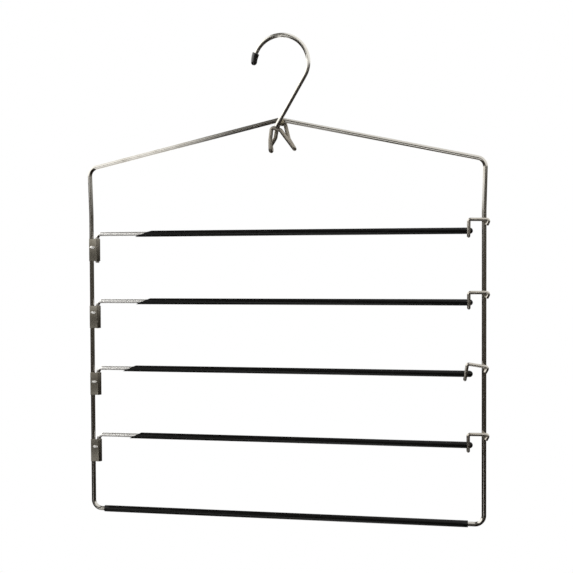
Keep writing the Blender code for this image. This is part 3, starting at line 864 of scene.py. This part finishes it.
# Latches: short lengths of plated wire. Each is welded across the front of the upright,
# turns back in a hairpin, and reaches down in front of an arm to a foot under it.
LATCH_R = 0.0016
LATCH_REACH = 0.0138         # upright's axis to the leg
LATCH_RISE = 0.0095          # top wire above the arm's axis
RISE_SHARES = (1.08, 0.97, 1.02, 1.13)
LATCH_TURN = math.radians(9)         # the latch that was welded on least straight
TURN_SHARES = (0.1, 0.0, 1.0, 0.0)
LATCH_SHIFT = 0.0012                 # the one that was welded on furthest inwards
SHIFT_SHARES = (0.0, 0.0, 1.0, 0.4)
LATCH_BEND_R = 0.0018
HAIRPIN_R = 0.0017
HAIRPIN_PAST = 0.0048        # the hairpin's corner beyond the upright's axis
RETURN_DROP = 0.0052
RETURN_PAST = 0.0022         # the wire's end beyond the upright's axis
LATCH_LEAN = (0.5, 0.5, 0.7)         # along none of its runs
LATCH_SIDES = 32
LATCH_PLATE = (0.54, 0.51, 0.46)
LATCH_PLATE_DULL = (0.42, 0.38, 0.31)
LATCH_HEAT_DROP = 0.001      # middle of the heat tint below the hairpin's corner
LATCH_HEAT_REACH = 0.0036

thin_plate = plated("thin_plate", LATCH_PLATE, LATCH_PLATE_DULL, rough=0.26)
for number in tier_numbers:
    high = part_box(f"latch_{number}")[1]
    arm_low, arm_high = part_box(f"arm_sleeve_{number}")
    arm_z = arm_pin(number)[2]
    upright_x = RIGHT_X - LATCH_SHIFT * SHIFT_SHARES[number - 1]
    weld_y = FRAME_Y - FRAME_R - GAP - LATCH_R
    clear_of_arm = (arm_high.y - arm_low.y) / 2 + LATCH_R + GAP
    leg_y = (arm_low.y + arm_high.y) / 2 - clear_of_arm
    rise = LATCH_RISE * RISE_SHARES[number - 1]
    slant = math.tan(LATCH_TURN * TURN_SHARES[number - 1])
    foot_x = upright_x - LATCH_REACH - slant * (rise + clear_of_arm)
    hairpin_z = arm_z + rise - slant * (LATCH_REACH + HAIRPIN_PAST)
    corners = [(foot_x, high.y, arm_z - clear_of_arm), (foot_x, leg_y, arm_z - clear_of_arm),
               (upright_x - LATCH_REACH, leg_y, arm_z + rise),
               (upright_x + HAIRPIN_PAST, weld_y, hairpin_z),
               (upright_x + RETURN_PAST, weld_y, hairpin_z - RETURN_DROP)]
    route, ways = bent_route(corners, [0, LATCH_BEND_R, LATCH_BEND_R, HAIRPIN_R, 0])
    latch = skin(f"latch_hook_{number}", wire_rings(
        route, ways, LATCH_R, lean=LATCH_LEAN, tips=(CUT_EDGE, CUT_EDGE), sides=LATCH_SIDES))
    latch.data.materials.append(thin_plate)
    mark_heat(latch, [(RIGHT_X, weld_y, hairpin_z - LATCH_HEAT_DROP), corners[-1]], LATCH_HEAT_REACH)
    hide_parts(f"latch_{number}")
    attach(latch, "hanger_frame")


# Welds: beads of melted wire left where the hook's shank, the belt loops and the latches
# were joined to the frame, and one nugget where each hinge's flange was spotted, coloured near white as
# a painted highlight.
BEAD_RINGS = 20
BEAD_SIDES = 40
BEAD_LUMPS = 0.10            # how far a bead's surface wanders, as a share of its size
APEX_BEAD_SHIFT = (0.0010, 0.0016, -0.0033)      # from the shank's crossing
APEX_BEAD_SIZES = (0.0034, 0.0022, 0.0026)
APEX_BEAD_LEAN = 1.2
LOOP_BEAD_SHIFT = (0.0, 0.0026, -0.0012)         # from the frame's axis at the crossing
LOOP_BEAD_SIZES = (0.0032, 0.0014, 0.0013)
TAIL_BEAD_ALONG = 0.0012                         # from the shank's end
TAIL_BEAD_SHIFT = (0.0004, 0.0016, 0.0)
TAIL_BEAD_SIZES = (0.0024, 0.0013, 0.0012)
TAIL_BEAD_LEAN = 0.3
LATCH_BEAD_SHIFT = (-0.0004, -0.0002, -0.0036)   # from the upright's front and the latch's top
LATCH_BEAD_SIZES = (0.0017, 0.0011, 0.0010)
LATCH_BEAD_LEAN = 0.2
NUGGET_SIZES = (0.0027, 0.00045, 0.0013)
NUGGET_SHIFTS = (0.0016, 0.0022, 0.0024, 0.0030)     # sideways from the upright's axis
NUGGET_RISES = (0.0024, 0.0042, 0.0019, 0.0036)      # above the knuckle's middle
NUGGET_SINK = 0.00005
WELD_METAL = (0.26, 0.23, 0.17)
WELD_METAL_DULL = (0.15, 0.12, 0.08)
# Near-white nugget colours: a painted highlight, the light caught on each spot weld's upper slope.
NUGGET_PAINTED_HIGHLIGHT = (0.95, 0.94, 0.91)
NUGGET_PAINTED_HIGHLIGHT_DULL = (0.72, 0.70, 0.66)

weld_metal = plated("weld_metal", WELD_METAL, WELD_METAL_DULL, rough=0.36, lines=0.0, bump=0.35)
nugget_metal = plated("nugget_metal", NUGGET_PAINTED_HIGHLIGHT, NUGGET_PAINTED_HIGHLIGHT_DULL, rough=0.42, lines=0.0,
                      bump=0.30)


def bead(name, place, sizes, lean=0.0, seed=0):
    """An ellipsoid turned by lean round Y, whose radius is scaled by
    1 + lumps * (sin(3 u + seed) sin(2 v) + 0.5 sin(5 u - 2 seed) sin(4 v)), with u the
    longitude and v the latitude from one pole to the other."""
    v = np.linspace(0, math.pi, BEAD_RINGS + 2)[1:-1, None]
    u = np.linspace(0, math.tau, BEAD_SIDES, endpoint=False)[None, :]
    wander = np.sin(3 * u + seed) * np.sin(2 * v) + 0.5 * np.sin(5 * u - 2 * seed) * np.sin(4 * v)
    scale = 1 + BEAD_LUMPS * wander
    x = np.cos(v) * sizes[0] + 0 * u
    y = np.sin(v) * np.sin(u) * sizes[1] * scale
    z = np.sin(v) * np.cos(u) * sizes[2] * scale
    turned_x = x * math.cos(lean) + z * math.sin(lean)
    turned_z = z * math.cos(lean) - x * math.sin(lean)
    return skin(name, np.stack([turned_x, y, turned_z], -1) + np.asarray(place, float))


tail_weld = shank_end + shank_way * TAIL_BEAD_ALONG
beads = [
    ("weld_apex", crossing + APEX_BEAD_SHIFT, APEX_BEAD_SIZES, APEX_BEAD_LEAN),
    ("weld_loop_ends", crossing + (0, FRAME_Y, 0) + LOOP_BEAD_SHIFT, LOOP_BEAD_SIZES, 0.0),
    ("weld_shank_tail", tail_weld + TAIL_BEAD_SHIFT, TAIL_BEAD_SIZES, TAIL_BEAD_LEAN),
]
for number, (name, place, sizes, lean) in enumerate(beads):
    weld = bead(name, place, sizes, lean, seed=number)
    weld.data.materials.append(weld_metal)
    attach(weld, "hanger_frame")
for number in tier_numbers:
    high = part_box(f"latch_{number}")[1]
    place = np.array([RIGHT_X, FRAME_Y - FRAME_R, high.z]) + LATCH_BEAD_SHIFT
    weld = bead(f"weld_latch_{number}", place, LATCH_BEAD_SIZES, LATCH_BEAD_LEAN, seed=number)
    weld.data.materials.append(weld_metal)
    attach(weld, "hanger_frame")
    low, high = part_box(f"hinge_knuckle_{number}")
    place = (LEFT_X + NUGGET_SHIFTS[number - 1], low.y + NUGGET_SINK,
             (low.z + high.z) / 2 + NUGGET_RISES[number - 1])
    nugget = bead(f"spot_weld_{number}", place, NUGGET_SIZES, seed=number + TIERS)
    nugget.data.materials.append(nugget_metal)
    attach(nugget, "hanger_frame")
